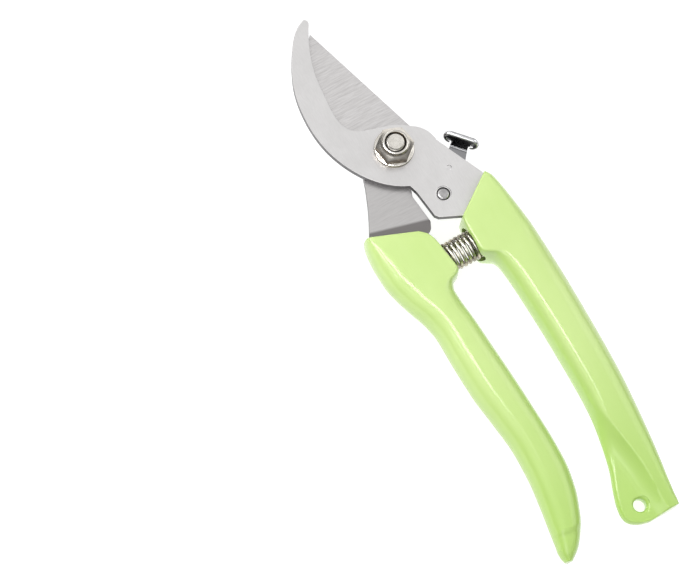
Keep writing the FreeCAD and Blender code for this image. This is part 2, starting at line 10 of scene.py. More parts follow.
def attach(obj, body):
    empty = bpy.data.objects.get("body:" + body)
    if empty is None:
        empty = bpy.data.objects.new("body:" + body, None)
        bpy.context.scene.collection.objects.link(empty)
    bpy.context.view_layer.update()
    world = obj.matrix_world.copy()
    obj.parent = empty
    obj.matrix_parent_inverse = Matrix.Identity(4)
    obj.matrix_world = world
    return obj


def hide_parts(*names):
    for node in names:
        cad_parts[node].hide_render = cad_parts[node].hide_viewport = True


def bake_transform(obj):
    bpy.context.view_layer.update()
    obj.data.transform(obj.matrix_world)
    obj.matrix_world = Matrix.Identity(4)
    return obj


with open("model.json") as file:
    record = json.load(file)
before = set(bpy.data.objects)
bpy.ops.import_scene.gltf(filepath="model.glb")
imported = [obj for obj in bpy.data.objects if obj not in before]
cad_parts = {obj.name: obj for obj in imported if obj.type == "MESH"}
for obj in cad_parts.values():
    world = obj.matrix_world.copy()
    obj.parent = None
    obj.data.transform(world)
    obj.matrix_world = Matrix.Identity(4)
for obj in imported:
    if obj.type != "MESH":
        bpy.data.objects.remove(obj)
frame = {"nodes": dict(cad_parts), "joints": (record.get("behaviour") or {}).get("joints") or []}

# Looks of the bypass pruner. The CAD frame gives the pivot axis, the catch's rivet and the shapes of
# the plates, the washer and the catch's sheet. The rest is built here, in millimetres from the pivot:
# x towards the hook grip, y towards the jaw's tip, and z from the parting height, where the two
# plates slide on each other.
MM = 0.001
JOINTS = {joint["name"]: joint for joint in frame["joints"]}
PIVOT = Vector(JOINTS["handle_hinge"]["pos_m"])
RIVET = Vector(JOINTS["latch_hinge"]["pos_m"])

# A plate's thickness, the gap between the two plates, and where the spring lies.
PLATE = 2.5
SLIDE_GAP = 0.05
SPRING_Y = -40.0

# Points closer than this are made one: those of a CAD mesh, and those that cuts leave. Faces of a CAD
# mesh that are this many degrees apart or less are made one too.
CAD_WELD = 0.001
WELD = 0.002
FLAT_ANGLE = 0.5

# An edge whose faces turn by more than this many degrees stays sharp in the shading.
SHARP = 35.0
PLATE_SHARP = 12.0
GRIP_SHARP = 40.0
BOLT_SHARP = 25.0
CATCH_SHARP = 40.0
RIVET_SHARP = 50.0
SPRING_SHARP = 50.0

# Widths of the broken edges, and by how many degrees the faces have to turn for an edge to be broken.
HOOK_EDGE = 0.12
BLADE_EDGE = 0.10
WASHER_EDGE = 0.10
PLATE_EDGE_ANGLE = 30.0
NUT_EDGE = 0.12
NUT_EDGE_ANGLE = 25.0
CATCH_EDGE = 0.12
CATCH_EDGE_ANGLE = 40.0
EDGE_SEGMENTS = 2

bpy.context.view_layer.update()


def at(x, y, z=0.0):
    """A place given in millimetres from the pivot, in the frame all the tools share."""
    return PIVOT + Vector((x, y, z)) * MM


# ----------------------------------------------------------------------------------------------
# Mesh helpers
# ----------------------------------------------------------------------------------------------
def make_object(name, vertices, faces):
    mesh = bpy.data.meshes.new(name)
    mesh.from_pydata([tuple(v) for v in vertices], [], faces)
    mesh.validate()
    piece = bpy.data.objects.new(name, mesh)
    bpy.context.scene.collection.objects.link(piece)
    fix_normals(piece)
    return piece


def fix_normals(piece):
    work = bmesh.new()
    work.from_mesh(piece.data)
    bmesh.ops.recalc_face_normals(work, faces=work.faces)
    work.to_mesh(piece.data)
    work.free()


def weld(piece):
    """Join the near-coincident vertices that cuts leave and drop the faces without area."""
    work = bmesh.new()
    work.from_mesh(piece.data)
    bmesh.ops.remove_doubles(work, verts=work.verts, dist=WELD * MM)
    bmesh.ops.dissolve_degenerate(work, dist=WELD * MM, edges=work.edges)
    work.to_mesh(piece.data)
    work.free()


def shade(piece, smooth_angle):
    """Smooth shading, with edges sharper than the angle kept sharp."""
    piece.data.shade_smooth()
    piece.data.set_sharp_from_angle(angle=math.radians(smooth_angle))


def apply_modifiers(piece):
    """Replace the piece's mesh by what its modifiers make of it."""
    depsgraph = bpy.context.evaluated_depsgraph_get()
    made = bpy.data.meshes.new_from_object(piece.evaluated_get(depsgraph), depsgraph=depsgraph)
    piece.modifiers.clear()
    piece.data = made
    return piece


def boolean(piece, cutter, operation):
    """Cut, join or intersect, then drop the cutter."""
    modifier = piece.modifiers.new(operation, "BOOLEAN")
    modifier.operation = operation
    modifier.solver = "EXACT"
    modifier.object = cutter
    apply_modifiers(piece)
    bpy.data.objects.remove(cutter)
    return piece


def bevel(piece, width, angle):
    """Break the edges that are sharper than the angle."""
    weld(piece)
    modifier = piece.modifiers.new("bevel", "BEVEL")
    modifier.width = width * MM
    modifier.segments = EDGE_SEGMENTS
    modifier.limit_method = "ANGLE"
    modifier.angle_limit = math.radians(angle)
    modifier.use_clamp_overlap = True
    return apply_modifiers(piece)


def copy_of_node(node, name):
    """A welded copy of a CAD node's mesh with its flat faces whole again, ready for bevels."""
    source = frame["nodes"][node]
    piece = bpy.data.objects.new(name, source.data.copy())
    bpy.context.scene.collection.objects.link(piece)
    work = bmesh.new()
    work.from_mesh(piece.data)
    bmesh.ops.remove_doubles(work, verts=work.verts, dist=CAD_WELD * MM)
    flat = math.radians(FLAT_ANGLE)
    bmesh.ops.dissolve_limit(work, angle_limit=flat, verts=work.verts, edges=work.edges)
    work.to_mesh(piece.data)
    work.free()
    piece.data.materials.clear()
    return piece


def on_circle(centre, radius, angle, z):
    """A place at a radius and an angle round a centre, and at a height over it."""
    return centre + Vector((radius * math.cos(angle), radius * math.sin(angle), z)) * MM


def lathe(name, profile, centre, steps):
    """Turn (radius, z) pairs round a line parallel to Z. A zero radius closes the form."""
    vertices, rings = [], []
    for radius, z in profile:
        if radius == 0.0:
            rings.append([len(vertices)])
            vertices.append(centre + Vector((0, 0, z * MM)))
            continue
        rings.append(list(range(len(vertices), len(vertices) + steps)))
        for i in range(steps):
            vertices.append(on_circle(centre, radius, 2.0 * math.pi * i / steps, z))
    faces = []
    for low, high in zip(rings, rings[1:]):
        for i in range(steps):
            j = (i + 1) % steps
            corners = [low[i % len(low)], low[j % len(low)], high[j % len(high)], high[i % len(high)]]
            face = list(dict.fromkeys(corners))
            if len(face) > 2:
                faces.append(face)
    for ring in (rings[0], rings[-1]):
        if len(ring) > 1:
            faces.append(ring)
    return make_object(name, vertices, faces)


def prism_faces(count):
    """Faces of a prism whose two outlines have this many points, numbered one after the other."""
    faces = [list(range(count)), list(range(count, 2 * count))]
    return faces + [[i, (i + 1) % count, count + (i + 1) % count, count + i] for i in range(count)]


def tube_faces(rings, count):
    """Faces of a closed skin over rings with this many points each, numbered one after the other."""
    faces = []
    for ring in range(rings - 1):
        low, high = ring * count, (ring + 1) * count
        for i in range(count):
            j = (i + 1) % count
            faces.append([low + i, low + j, high + j, high + i])
    last = (rings - 1) * count
    return faces + [list(range(count)), list(range(last, last + count))]


def prism(name, outline, low, high, centre):
    """An outline in millimetres pulled straight up from one height to another."""
    vertices = [centre + Vector((x, y, z)) * MM for z in (low, high) for x, y in outline]
    return make_object(name, vertices, prism_faces(len(outline)))


def hexagon(flats, turn):
    """Corners of a hexagon with this width across its flats, turned by this many degrees."""
    radius = flats / math.sqrt(3.0)
    angles = [math.radians(turn + 60.0 * i) for i in range(6)]
    return [(radius * math.cos(a), radius * math.sin(a)) for a in angles]


# ----------------------------------------------------------------------------------------------
# Smooth interpolation of grip stations
# ----------------------------------------------------------------------------------------------
def slopes(places, values):
    """Slopes of a curve through the stations that never swings past them."""
    gaps = np.diff(places)[:, None]
    steps = np.diff(values, axis=0) / gaps
    result = np.zeros_like(values)
    result[0], result[-1] = steps[0], steps[-1]
    before, after = steps[:-1], steps[1:]
    same_way = before * after > 0
    total = np.where(same_way, before + after, 1.0)
    result[1:-1] = np.where(same_way, 2.0 * before * after / total, 0.0)
    return result


def interpolate(places, values, where):
    """Cubic curve through rows of numbers."""
    slope = slopes(places, values)
    index = np.clip(np.searchsorted(places, where, side="right") - 1, 0, len(places) - 2)
    gap = (places[index + 1] - places[index])[:, None]
    t = ((where - places[index]) / gap[:, 0])[:, None]
    start = (1 + 2 * t) * (1 - t) ** 2 * values[index] + t * (1 - t) ** 2 * gap * slope[index]
    end = t * t * (3 - 2 * t) * values[index + 1] + t * t * (t - 1) * gap * slope[index + 1]
    return start + end


def smoothstep(low, high, value):
    t = np.clip((value - low) / (high - low), 0.0, 1.0)
    return t * t * (3.0 - 2.0 * t)


# ----------------------------------------------------------------------------------------------
# Grips
# ----------------------------------------------------------------------------------------------
# Each station: left side point, right side point, half height, then for the left and the right
# side how wide the rounding is and how square it is, then the ridge: how far from the left point
# the full height starts, zero where the whole section has it, and last the crown of the top.
HOOK_GRIP = [
    (5.9, -32.2, 21.5, -21.5, 6.9, 1.2, 4.6, 1.8, 3.2, 0.0, 0.02),
    (5.5, -33.6, 22.9, -23.4, 7.2, 1.2, 4.6, 2.8, 3.0, 0.0, 0.02),
    (5.2, -36.0, 24.2, -29.5, 7.4, 1.2, 4.6, 3.8, 2.8, 0.0, 0.02),
    (5.0, -40.0, 25.3, -38.0, 7.5, 1.2, 4.6, 4.8, 2.6, 0.0, 0.02),
    (4.9, -43.2, 25.8, -43.2, 7.5, 1.3, 4.6, 5.2, 2.5, 0.0, 0.02),
    (5.3, -44.8, 25.9, -45.4, 7.5, 1.5, 4.2, 5.4, 2.5, 0.0, 0.03),
    (7.0, -46.2, 25.95, -47.2, 7.5, 2.0, 3.4, 5.6, 2.5, 0.0, 0.05),
    (8.7, -47.8, 26.0, -49.4, 7.5, 2.8, 2.8, 5.8, 2.5, 0.0, 0.07),
    (9.5, -51.2, 26.05, -52.6, 7.6, 3.6, 2.5, 6.0, 2.5, 0.0, 0.09),
    (9.9, -60.0, 26.05, -60.0, 7.7, 4.0, 2.4, 6.2, 2.5, 0.0, 0.10),
    (10.0, -72.0, 25.75, -72.0, 7.7, 4.0, 2.4, 6.2, 2.5, 0.0, 0.10),
    (9.7, -88.0, 25.1, -88.0, 7.65, 4.0, 2.4, 6.0, 2.5, 0.0, 0.10),
    (9.2, -100.0, 24.3, -100.0, 7.55, 4.0, 2.4, 5.8, 2.5, 0.0, 0.10),
    (8.3, -108.0, 23.4, -108.0, 7.35, 3.6, 2.3, 5.4, 2.5, 2.4, 0.09),
    (6.7, -116.0, 22.3, -116.0, 7.0, 2.6, 2.2, 5.0, 2.6, 5.2, 0.07),
    (4.4, -124.5, 21.0, -124.5, 6.5, 1.5, 2.1, 4.2, 2.7, 8.6, 0.05),
    (1.7, -131.0, 19.8, -131.0, 6.0, 1.1, 2.1, 3.4, 2.8, 11.7, 0.04),
    (0.0, -136.0, 18.8, -136.0, 5.5, 1.0, 2.1, 2.6, 2.9, 13.2, 0.03),
    (-0.4, -138.6, 18.4, -138.4, 5.15, 1.0, 2.1, 2.3, 3.0, 13.5, 0.02),
    (-0.2, -140.4, 18.1, -140.2, 4.95, 1.0, 2.1, 2.2, 3.0, 13.2, 0.02),
    (0.6, -141.8, 17.9, -141.6, 4.8, 1.0, 2.1, 2.1, 3.1, 12.4, 0.02),
    (1.9, -142.9, 17.8, -142.7, 4.7, 1.0, 2.1, 2.0, 3.2, 11.2, 0.02),
    (3.5, -143.8, 17.6, -143.6, 4.6, 1.0, 2.1, 1.9, 3.2, 9.7, 0.02),
    (5.6, -144.4, 17.5, -144.3, 4.5, 1.0, 2.1, 1.8, 3.2, 7.8, 0.02),
]
BLADE_GRIP = [
    (-24.8, -22.9, -7.6, -29.7, 6.9, 1.8, 3.2, 1.2, 4.6, 0.0, 0.02),
    (-25.4, -24.4, -5.8, -31.6, 7.2, 2.8, 3.0, 1.2, 4.6, 0.0, 0.02),
    (-26.0, -27.4, -4.8, -34.4, 7.4, 4.4, 2.8, 1.2, 4.6, 0.0, 0.02),
    (-26.4, -32.6, -4.2, -39.4, 7.5, 5.8, 2.6, 1.2, 4.6, 0.0, 0.02),
    (-26.3, -38.3, -3.5, -44.2, 7.5, 6.4, 2.5, 1.3, 4.6, 0.0, 0.02),
    (-25.9, -41.2, -3.4, -45.8, 7.5, 6.4, 2.5, 1.6, 4.2, 0.0, 0.03),
    (-25.3, -43.8, -4.4, -47.2, 7.5, 6.4, 2.5, 2.2, 3.4, 0.0, 0.05),
    (-24.6, -46.4, -6.6, -48.4, 7.5, 6.2, 2.5, 3.2, 2.8, 0.0, 0.07),
    (-23.5, -50.0, -7.7, -51.2, 7.6, 5.8, 2.4, 4.4, 2.6, 0.0, 0.09),
    (-21.7, -55.5, -7.5, -56.0, 7.7, 5.4, 2.4, 5.0, 2.5, 0.0, 0.10),
    (-20.7, -62.0, -7.0, -62.0, 7.7, 5.2, 2.4, 5.0, 2.5, 0.0, 0.10),
    (-20.9, -72.0, -6.6, -72.0, 7.7, 5.2, 2.4, 5.2, 2.5, 0.0, 0.10),
    (-20.8, -82.0, -6.2, -82.0, 7.65, 5.2, 2.4, 5.2, 2.5, 0.0, 0.10),
    (-19.7, -94.0, -5.9, -94.0, 7.55, 5.0, 2.4, 5.2, 2.5, 0.0, 0.10),
    (-18.9, -104.0, -5.8, -104.0, 7.4, 4.8, 2.4, 5.0, 2.5, 0.0, 0.10),
    (-19.4, -114.0, -6.2, -114.5, 7.1, 4.8, 2.4, 5.0, 2.5, 0.0, 0.10),
    (-20.7, -123.0, -8.0, -124.0, 6.6, 4.8, 2.4, 4.8, 2.5, 0.0, 0.10),
    (-22.0, -130.0, -10.9, -131.4, 6.15, 4.6, 2.4, 4.4, 2.5, 0.0, 0.08),
    (-22.5, -132.6, -12.2, -134.0, 6.0, 4.2, 2.3, 4.1, 2.4, 0.0, 0.06),
    (-22.7, -133.8, -13.0, -135.2, 5.9, 4.0, 2.3, 4.0, 2.4, 0.0, 0.05),
    (-22.9, -134.8, -13.7, -136.2, 5.1, 3.8, 2.3, 3.8, 2.4, 0.0, 0.03),
    (-23.2, -136.6, -15.2, -138.2, 4.8, 3.4, 2.3, 3.4, 2.4, 0.0, 0.03),
    (-23.7, -139.2, -17.6, -140.8, 4.1, 2.8, 2.2, 2.8, 2.3, 0.0, 0.03),
    (-23.7, -140.7, -19.1, -141.9, 3.5, 2.1, 2.1, 2.1, 2.2, 0.0, 0.03),
    (-23.4, -141.9, -20.5, -142.8, 2.7, 1.4, 2.1, 1.4, 2.1, 0.0, 0.03),
]
GRIP_ROW_GAP = 0.8
WEB_HALF = 2.2
RIDGE_RAMP = 6.5
RIDGE_FADE = 4.5
TOP_DRAFT = 0.04
UNDER_DRAFT = 0.13
SIDE_STEPS = 10
TOP_STEPS = 28

# The rounding of a grip's two ends: radii, how far it stands out against them, and the largest share
# of the way to the middle that it may take.
HEAD_ROUND = 0.7
TIP_ROUND = 0.9
END_BULGE = 0.5
END_DRAW_LIMIT = 0.6
END_STEPS = 5

# Each spring socket: its open face and its floor along x, and its radius.
HOOK_SOCKET = (5.0, 10.4, 6.2)
BLADE_SOCKET = (-3.9, -7.3, 5.6)
SOCKET_FLARE = 0.5
SOCKET_MARGIN = 0.2
SOCKET_REACH = 6.0

# The hang hole: where it is, and its wall from outside the grip to its narrow waist, as radius and
# height from the mid-plane. The wall is the same above and below.
HANG_HOLE = (6.5, -138.7)
HANG_HOLE_WALL = [(0.0, 8.0), (3.1, 8.0), (3.1, 2.5), (2.6, 2.15), (2.2, 1.8), (2.1, 1.4)]


def rounding(width, squareness):
    """Distances in from the side and heights (0 to 1) of a side's rounding, from the mid-plane up."""
    angles = np.linspace(0.0, 0.5 * math.pi, SIDE_STEPS)
    power = 2.0 / squareness
    inwards = width * (1.0 - np.cos(angles) ** power)
    heights = np.sin(angles) ** power
    return inwards, heights


def half_section(row, draft):
    """Distances across and heights (up from the mid-plane) of one half of a section."""
    half_height, left_width, left_square, right_width, right_square, ridge, crown = row[4:11]
    width = math.hypot(row[2] - row[0], row[3] - row[1])
    left_in, left_up = rounding(left_width, left_square)
    right_in, right_up = rounding(right_width, right_square)
    left_in = left_in + draft * half_height * left_up
    right_in = right_in + draft * half_height * right_up
    flat = np.linspace(left_in[-1], width - right_in[-1], TOP_STEPS)[1:-1]
    across = np.concatenate([left_in, flat, (width - right_in)[::-1]])
    shape = np.concatenate([left_up, np.ones(len(flat)), right_up[::-1]])
    thick = half_height * (1.0 - crown * (2.0 * across / width - 1.0) ** 2)
    if ridge > 0.0:
        foot = np.clip((across - (ridge - RIDGE_RAMP)) / RIDGE_RAMP, 0.0, 1.0)
        share = np.maximum(foot ** 2.0, 1.0 - smoothstep(0.0, RIDGE_FADE, ridge))
        thick = WEB_HALF + (thick - WEB_HALF) * share
    return across, thick * shape


def section_points(row):
    """One closed section of a grip: drafted a little above the mid-plane and more below it."""
    left, right = np.array([row[0], row[1]]), np.array([row[2], row[3]])
    direction = (right - left) / np.linalg.norm(right - left)
    above, above_height = half_section(row, TOP_DRAFT)
    below, below_height = half_section(row, UNDER_DRAFT)
    top = np.column_stack([left + above[:, None] * direction, above_height])
    under = np.column_stack([left + below[:, None] * direction, -below_height])
    return np.concatenate([top, under[::-1][1:-1]])


def grip_mesh(name, stations):
    """Skin a grip over its stations, round its two end edges and close it."""
    table = np.array(stations, float)
    middle = 0.5 * (table[:, 0:2] + table[:, 2:4])
    places = np.concatenate([[0.0], np.cumsum(np.linalg.norm(np.diff(middle, axis=0), axis=1))])
    count = int(places[-1] / GRIP_ROW_GAP)
    rows = interpolate(places, table, np.linspace(0.0, places[-1], count))
    sections = [section_points(row) for row in rows]
    sections = end_rounding(sections[0], sections[1], HEAD_ROUND)[::-1] + sections
    sections = sections + end_rounding(sections[-1], sections[-2], TIP_ROUND)
    vertices = [at(*p) for section in sections for p in section]
    return make_object(name, vertices, tube_faces(len(sections), len(sections[0])))


def end_rounding(end, neighbour, radius):
    """Sections that curl in over an open end, like a fillet on its edge."""
    centre = end.mean(axis=0)
    outwards = centre - neighbour.mean(axis=0)
    outwards[2] = 0.0
    outwards = outwards / np.linalg.norm(outwards)
    towards = end - centre
    size = np.linalg.norm(towards, axis=1)[:, None]
    made = []
    for step in range(1, END_STEPS + 1):
        angle = 0.5 * math.pi * step / END_STEPS
        inset = radius * (1.0 - math.cos(angle))
        drawn_in = towards * (1.0 - np.minimum(inset / size, END_DRAW_LIMIT))
        made.append(centre + drawn_in + outwards * radius * math.sin(angle) * END_BULGE)
    return made


def socket_cutter(face, floor, radius):
    """A round plug along x with a flared mouth, for the spring's socket."""
    outwards = 1.0 if face > floor else -1.0
    flared = radius + SOCKET_FLARE
    end = face + SOCKET_REACH * outwards
    profile = [
        (0.0, floor), (radius, floor), (radius, face - SOCKET_FLARE * outwards),
        (flared, face + SOCKET_MARGIN * outwards), (flared, end), (0.0, end),
    ]
    cutter = lathe("socket", profile, Vector((0, 0, 0)), 48)
    turn = Matrix.Rotation(math.radians(90.0), 4, "Y")
    cutter.data.transform(Matrix.Translation(at(0.0, SPRING_Y)) @ turn)
    fix_normals(cutter)
    return cutter


def make_blade_grip(material):
    grip = grip_mesh("blade_grip_moulding", BLADE_GRIP)
    boolean(grip, socket_cutter(*BLADE_SOCKET), "DIFFERENCE")
    return finish_piece(grip, material, "blade_side", "blade_grip", GRIP_SHARP)


def make_hook_grip(material):
    grip = grip_mesh("hook_grip_moulding", HOOK_GRIP)
    boolean(grip, socket_cutter(*HOOK_SOCKET), "DIFFERENCE")
    profile = [(radius, -z) for radius, z in HANG_HOLE_WALL] + HANG_HOLE_WALL[::-1]
    boolean(grip, lathe("hang_hole", profile, at(*HANG_HOLE), 40), "DIFFERENCE")
    return finish_piece(grip, material, "hook_side", "hook_grip", GRIP_SHARP)


def finish_piece(piece, material, body, node=None, smooth_angle=SHARP):
    """Material, shading and place in the frame for a finished mesh."""
    weld(piece)
    fix_normals(piece)
    shade(piece, smooth_angle)
    piece.data.materials.clear()
    piece.data.materials.append(material)
    if body is not None:
        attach(piece, body)
    if node is not None:
        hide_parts(node)
    return piece


# ----------------------------------------------------------------------------------------------
# Steel plates and washer: the CAD shapes with broken edges
# ----------------------------------------------------------------------------------------------
def make_plate(node, material, body, edge):
    piece = copy_of_node(node, node + "_ground")
    bevel(piece, edge, PLATE_EDGE_ANGLE)
    return finish_piece(piece, material, body, node, PLATE_SHARP)


# ----------------------------------------------------------------------------------------------
# Bolt and nut
# ----------------------------------------------------------------------------------------------
NUT_FLATS = 11.0
HEAD_FLATS = 10.0
NUT_BASE = PLATE
NUT_TOP = PLATE + 6.0
NUT_TURN = 38.5
COLLAR = 4.45
INSERT_TOP = NUT_TOP - 1.0
INSERT_LOW = INSERT_TOP - 1.15
INSERT_INNER = 3.0
INSERT_OUTER = 3.38
INSERT_STEPS = 64
WASHER_THICK = 1.0
BOLT_END = 9.0
BOLT_RADIUS = 2.98
BOLT_HEAD_TOP = -SLIDE_GAP - PLATE - WASHER_THICK
BOLT_HEAD_LOW = BOLT_HEAD_TOP - 4.0
HEAD_FACE = 0.97
HEAD_CHAMFER_ANGLE = 30.0
THREAD_LOW = NUT_TOP - 3.0
THREAD_PITCH = 1.0
THREAD_DEPTH = 0.5
THREAD_STEPS = 72
THREAD_ROWS_PER_TURN = 14
BOLT_CHAMFER = 0.5
BOLT_CHAMFER_SLOPE = 0.9

# Turned outlines, as radius and height: what is left of the nut's hexagon, its flange, the dished
# mouth, the bore, and the plain part of the bolt.
NUT_CROWN = [
    (0.0, NUT_BASE), (6.5, NUT_BASE), (6.5, NUT_TOP - 2.5), (4.9, NUT_TOP - 1.3),
    (COLLAR, NUT_TOP - 0.9), (COLLAR - 0.05, NUT_TOP - 0.4), (COLLAR - 0.3, NUT_TOP - 0.1),
    (COLLAR - 0.6, NUT_TOP), (0.0, NUT_TOP),
]
NUT_FLANGE = [
    (0.0, NUT_BASE), (6.45, NUT_BASE), (6.6, NUT_BASE + 0.15), (6.6, NUT_BASE + 0.5),
    (6.45, NUT_BASE + 0.75), (6.1, NUT_BASE + 0.8), (5.6, NUT_BASE + 0.85), (5.0, NUT_BASE + 0.9),
    (0.0, NUT_BASE + 0.9),
]
NUT_MOUTH = [
    (0.0, INSERT_TOP - 1.2), (3.4, INSERT_TOP - 1.2), (3.4, NUT_TOP - 0.45), (3.5, NUT_TOP - 0.15),
    (3.65, NUT_TOP + 0.1), (0.0, NUT_TOP + 0.1),
]
NUT_BORE = [(0.0, NUT_BASE - 1.0), (3.02, NUT_BASE - 1.0), (3.02, NUT_TOP), (0.0, NUT_TOP)]
BOLT_SHANK = [
    (0.0, BOLT_HEAD_TOP - 1.0), (3.0, BOLT_HEAD_TOP - 1.0), (3.0, THREAD_LOW + 0.1),
    (2.6, THREAD_LOW + 0.4), (0.0, THREAD_LOW + 0.4),
]


def make_nut(material):
    """Flange nut whose crown is turned down to a round collar, crimped over its insert."""
    nut = prism("pivot_nut_plated", hexagon(NUT_FLATS, NUT_TURN), NUT_BASE, NUT_TOP, PIVOT)
    boolean(nut, lathe("crown", NUT_CROWN, PIVOT, 96), "INTERSECT")
    boolean(nut, lathe("flange", NUT_FLANGE, PIVOT, 96), "UNION")
    boolean(nut, lathe("mouth", NUT_MOUTH, PIVOT, 64), "DIFFERENCE")
    boolean(nut, lathe("bore", NUT_BORE, PIVOT, 64), "DIFFERENCE")
    bevel(nut, NUT_EDGE, NUT_EDGE_ANGLE)
    return finish_piece(nut, material, "hook_side", "pivot_nut")


def make_nut_insert(material):
    """The dark locking ring that the collar holds, gripping the bolt's thread."""
    section = [
        (INSERT_INNER, INSERT_LOW), (INSERT_OUTER, INSERT_LOW), (INSERT_OUTER, INSERT_TOP - 0.1),
        (INSERT_OUTER - 0.12, INSERT_TOP), (INSERT_INNER, INSERT_TOP),
    ]
    count = len(section)
    vertices, faces = [], []
    for i in range(INSERT_STEPS):
        here, ahead = i * count, (i + 1) % INSERT_STEPS * count
        for k, (radius, z) in enumerate(section):
            m = (k + 1) % count
            vertices.append(on_circle(PIVOT, radius, 2.0 * math.pi * i / INSERT_STEPS, z))
            faces.append([here + k, here + m, ahead + m, ahead + k])
    ring = make_object("nut_locking_ring", vertices, faces)
    return finish_piece(ring, material, "hook_side")


def bolt_head():
    """A hexagon whose outer corners are turned off by a cone, as on real bolts."""
    head = prism("head", hexagon(HEAD_FLATS, 0.0), BOLT_HEAD_LOW, BOLT_HEAD_TOP, PIVOT)
    corner = HEAD_FLATS / math.sqrt(3.0)
    inner = 0.5 * HEAD_FLATS * HEAD_FACE
    outer = corner + 0.1
    rise = (corner - inner) * math.tan(math.radians(HEAD_CHAMFER_ANGLE))
    profile = [
        (0.0, BOLT_HEAD_LOW), (inner, BOLT_HEAD_LOW), (outer, BOLT_HEAD_LOW + rise),
        (outer, BOLT_HEAD_TOP), (0.0, BOLT_HEAD_TOP),
    ]
    return boolean(head, lathe("head_cone", profile, PIVOT, 96), "INTERSECT")


def make_bolt(material):
    """Shank with a real helical thread at the nut's end, chamfered end and a hexagon head."""
    length = BOLT_END - THREAD_LOW
    rows = int(length / THREAD_PITCH * THREAD_ROWS_PER_TURN)
    vertices = []
    for row in range(rows + 1):
        z = THREAD_LOW + length * row / rows
        fade = min(1.0, (z - THREAD_LOW) / THREAD_PITCH)
        chamfer = max(0.0, z - (BOLT_END - BOLT_CHAMFER)) * BOLT_CHAMFER_SLOPE
        for i in range(THREAD_STEPS):
            phase = (z / THREAD_PITCH - i / THREAD_STEPS) % 1.0
            depth = 0.5 * (1.0 - math.cos(2.0 * math.pi * phase)) * THREAD_DEPTH * fade
            radius = BOLT_RADIUS - max(depth, chamfer)
            vertices.append(on_circle(PIVOT, radius, 2.0 * math.pi * i / THREAD_STEPS, z))
    bolt = make_object("pivot_bolt_turned", vertices, tube_faces(rows + 1, THREAD_STEPS))
    boolean(bolt, lathe("shank", BOLT_SHANK, PIVOT, 72), "UNION")
    boolean(bolt, bolt_head(), "UNION")
    return finish_piece(bolt, material, "hook_side", "pivot_bolt", BOLT_SHARP)


# ----------------------------------------------------------------------------------------------
# Catch and its rivet
# ----------------------------------------------------------------------------------------------
LEVER_THICK = 2.0
LEVER_BACK = -SLIDE_GAP - LEVER_THICK
LEVER_TURN = 41.6
TAB_DISTANCE = 18.0
TAB_LEAN = 20.0
TAB_SHEET = 0.9
TAB_NECK = 2.9
TAB_HALF_WIDTH = 5.3
TAB_HEAD_LOW = 3.6
TAB_HEAD_HIGH = 7.0
RIM_RADIUS = 0.72
RIM_DEPTH = -0.5 * TAB_SHEET - 0.25
RIM_STRETCH = 1.25
RIM_SIDES = 12
HEAD_STEPS = 14
HEAD_INSET = 0.1
NECK_FOOT = 0.3
NECK_TOP = 3.2
NECK_END = 4.6
NECK_FLARE = 0.5

# Where the CAD lever is cut off: a hair above the back of the plate it lies on.
LEVER_CUT = -SLIDE_GAP + 0.01
CUT_TOLERANCE = 1e-7

# The rivet turned, as radius and height: domed head, shank and closed end.
RIVET_LOW = LEVER_BACK - SLIDE_GAP
RIVET_OUTLINE = [
    (0.0, RIVET_LOW - 1.7), (1.1, RIVET_LOW - 1.6), (2.1, RIVET_LOW - 1.2), (2.8, RIVET_LOW - 0.65),
    (3.15, RIVET_LOW - 0.1), (3.15, RIVET_LOW), (2.15, RIVET_LOW), (2.15, PLATE - 0.6),
    (1.95, PLATE - 0.42), (1.62, PLATE - 0.14), (1.45, PLATE - 0.09), (0.0, PLATE - 0.13),
]


def rivet_axis():
    return Vector((RIVET.x, RIVET.y, PIVOT.z))


def make_rivet(material):
    """Domed head at the back, shank, and an end closed into the countersink with a sloping ring."""
    rivet = lathe("latch_rivet_closed", RIVET_OUTLINE, rivet_axis(), 56)
    return finish_piece(rivet, material, "hook_side", "latch_rivet", RIVET_SHARP)


def tab_place(across, up, outwards):
    """A place on the thumb tab, in millimetres across it, up it and out from its inner face."""
    lean, turn = math.radians(TAB_LEAN), math.radians(LEVER_TURN)
    forward = TAB_DISTANCE + up * math.sin(lean) + outwards * math.cos(lean)
    height = LEVER_BACK + up * math.cos(lean) - outwards * math.sin(lean)
    x = forward * math.cos(turn) + across * math.sin(turn)
    y = forward * math.sin(turn) - across * math.cos(turn)
    return rivet_axis() + Vector((x, y, height)) * MM


def tab_head(inset):
    """The head's oval, drawn in by an inset, as points across and up the tab."""
    radius = 0.5 * (TAB_HEAD_HIGH - TAB_HEAD_LOW) - inset
    middle = 0.5 * (TAB_HEAD_HIGH + TAB_HEAD_LOW)
    straight = TAB_HALF_WIDTH - inset - radius
    points = []
    for side in (1.0, -1.0):
        for step in range(HEAD_STEPS + 1):
            angle = math.pi * (step / HEAD_STEPS - 0.5)
            across = side * (straight + radius * math.cos(angle))
            points.append((across, middle + side * radius * math.sin(angle)))
    return points


def tab_sheet(name, outline):
    """A flat sheet of the tab between its inner and outer face."""
    vertices = [tab_place(a, u, depth) for depth in (-TAB_SHEET, 0.0) for a, u in outline]
    return make_object(name, vertices, prism_faces(len(outline)))


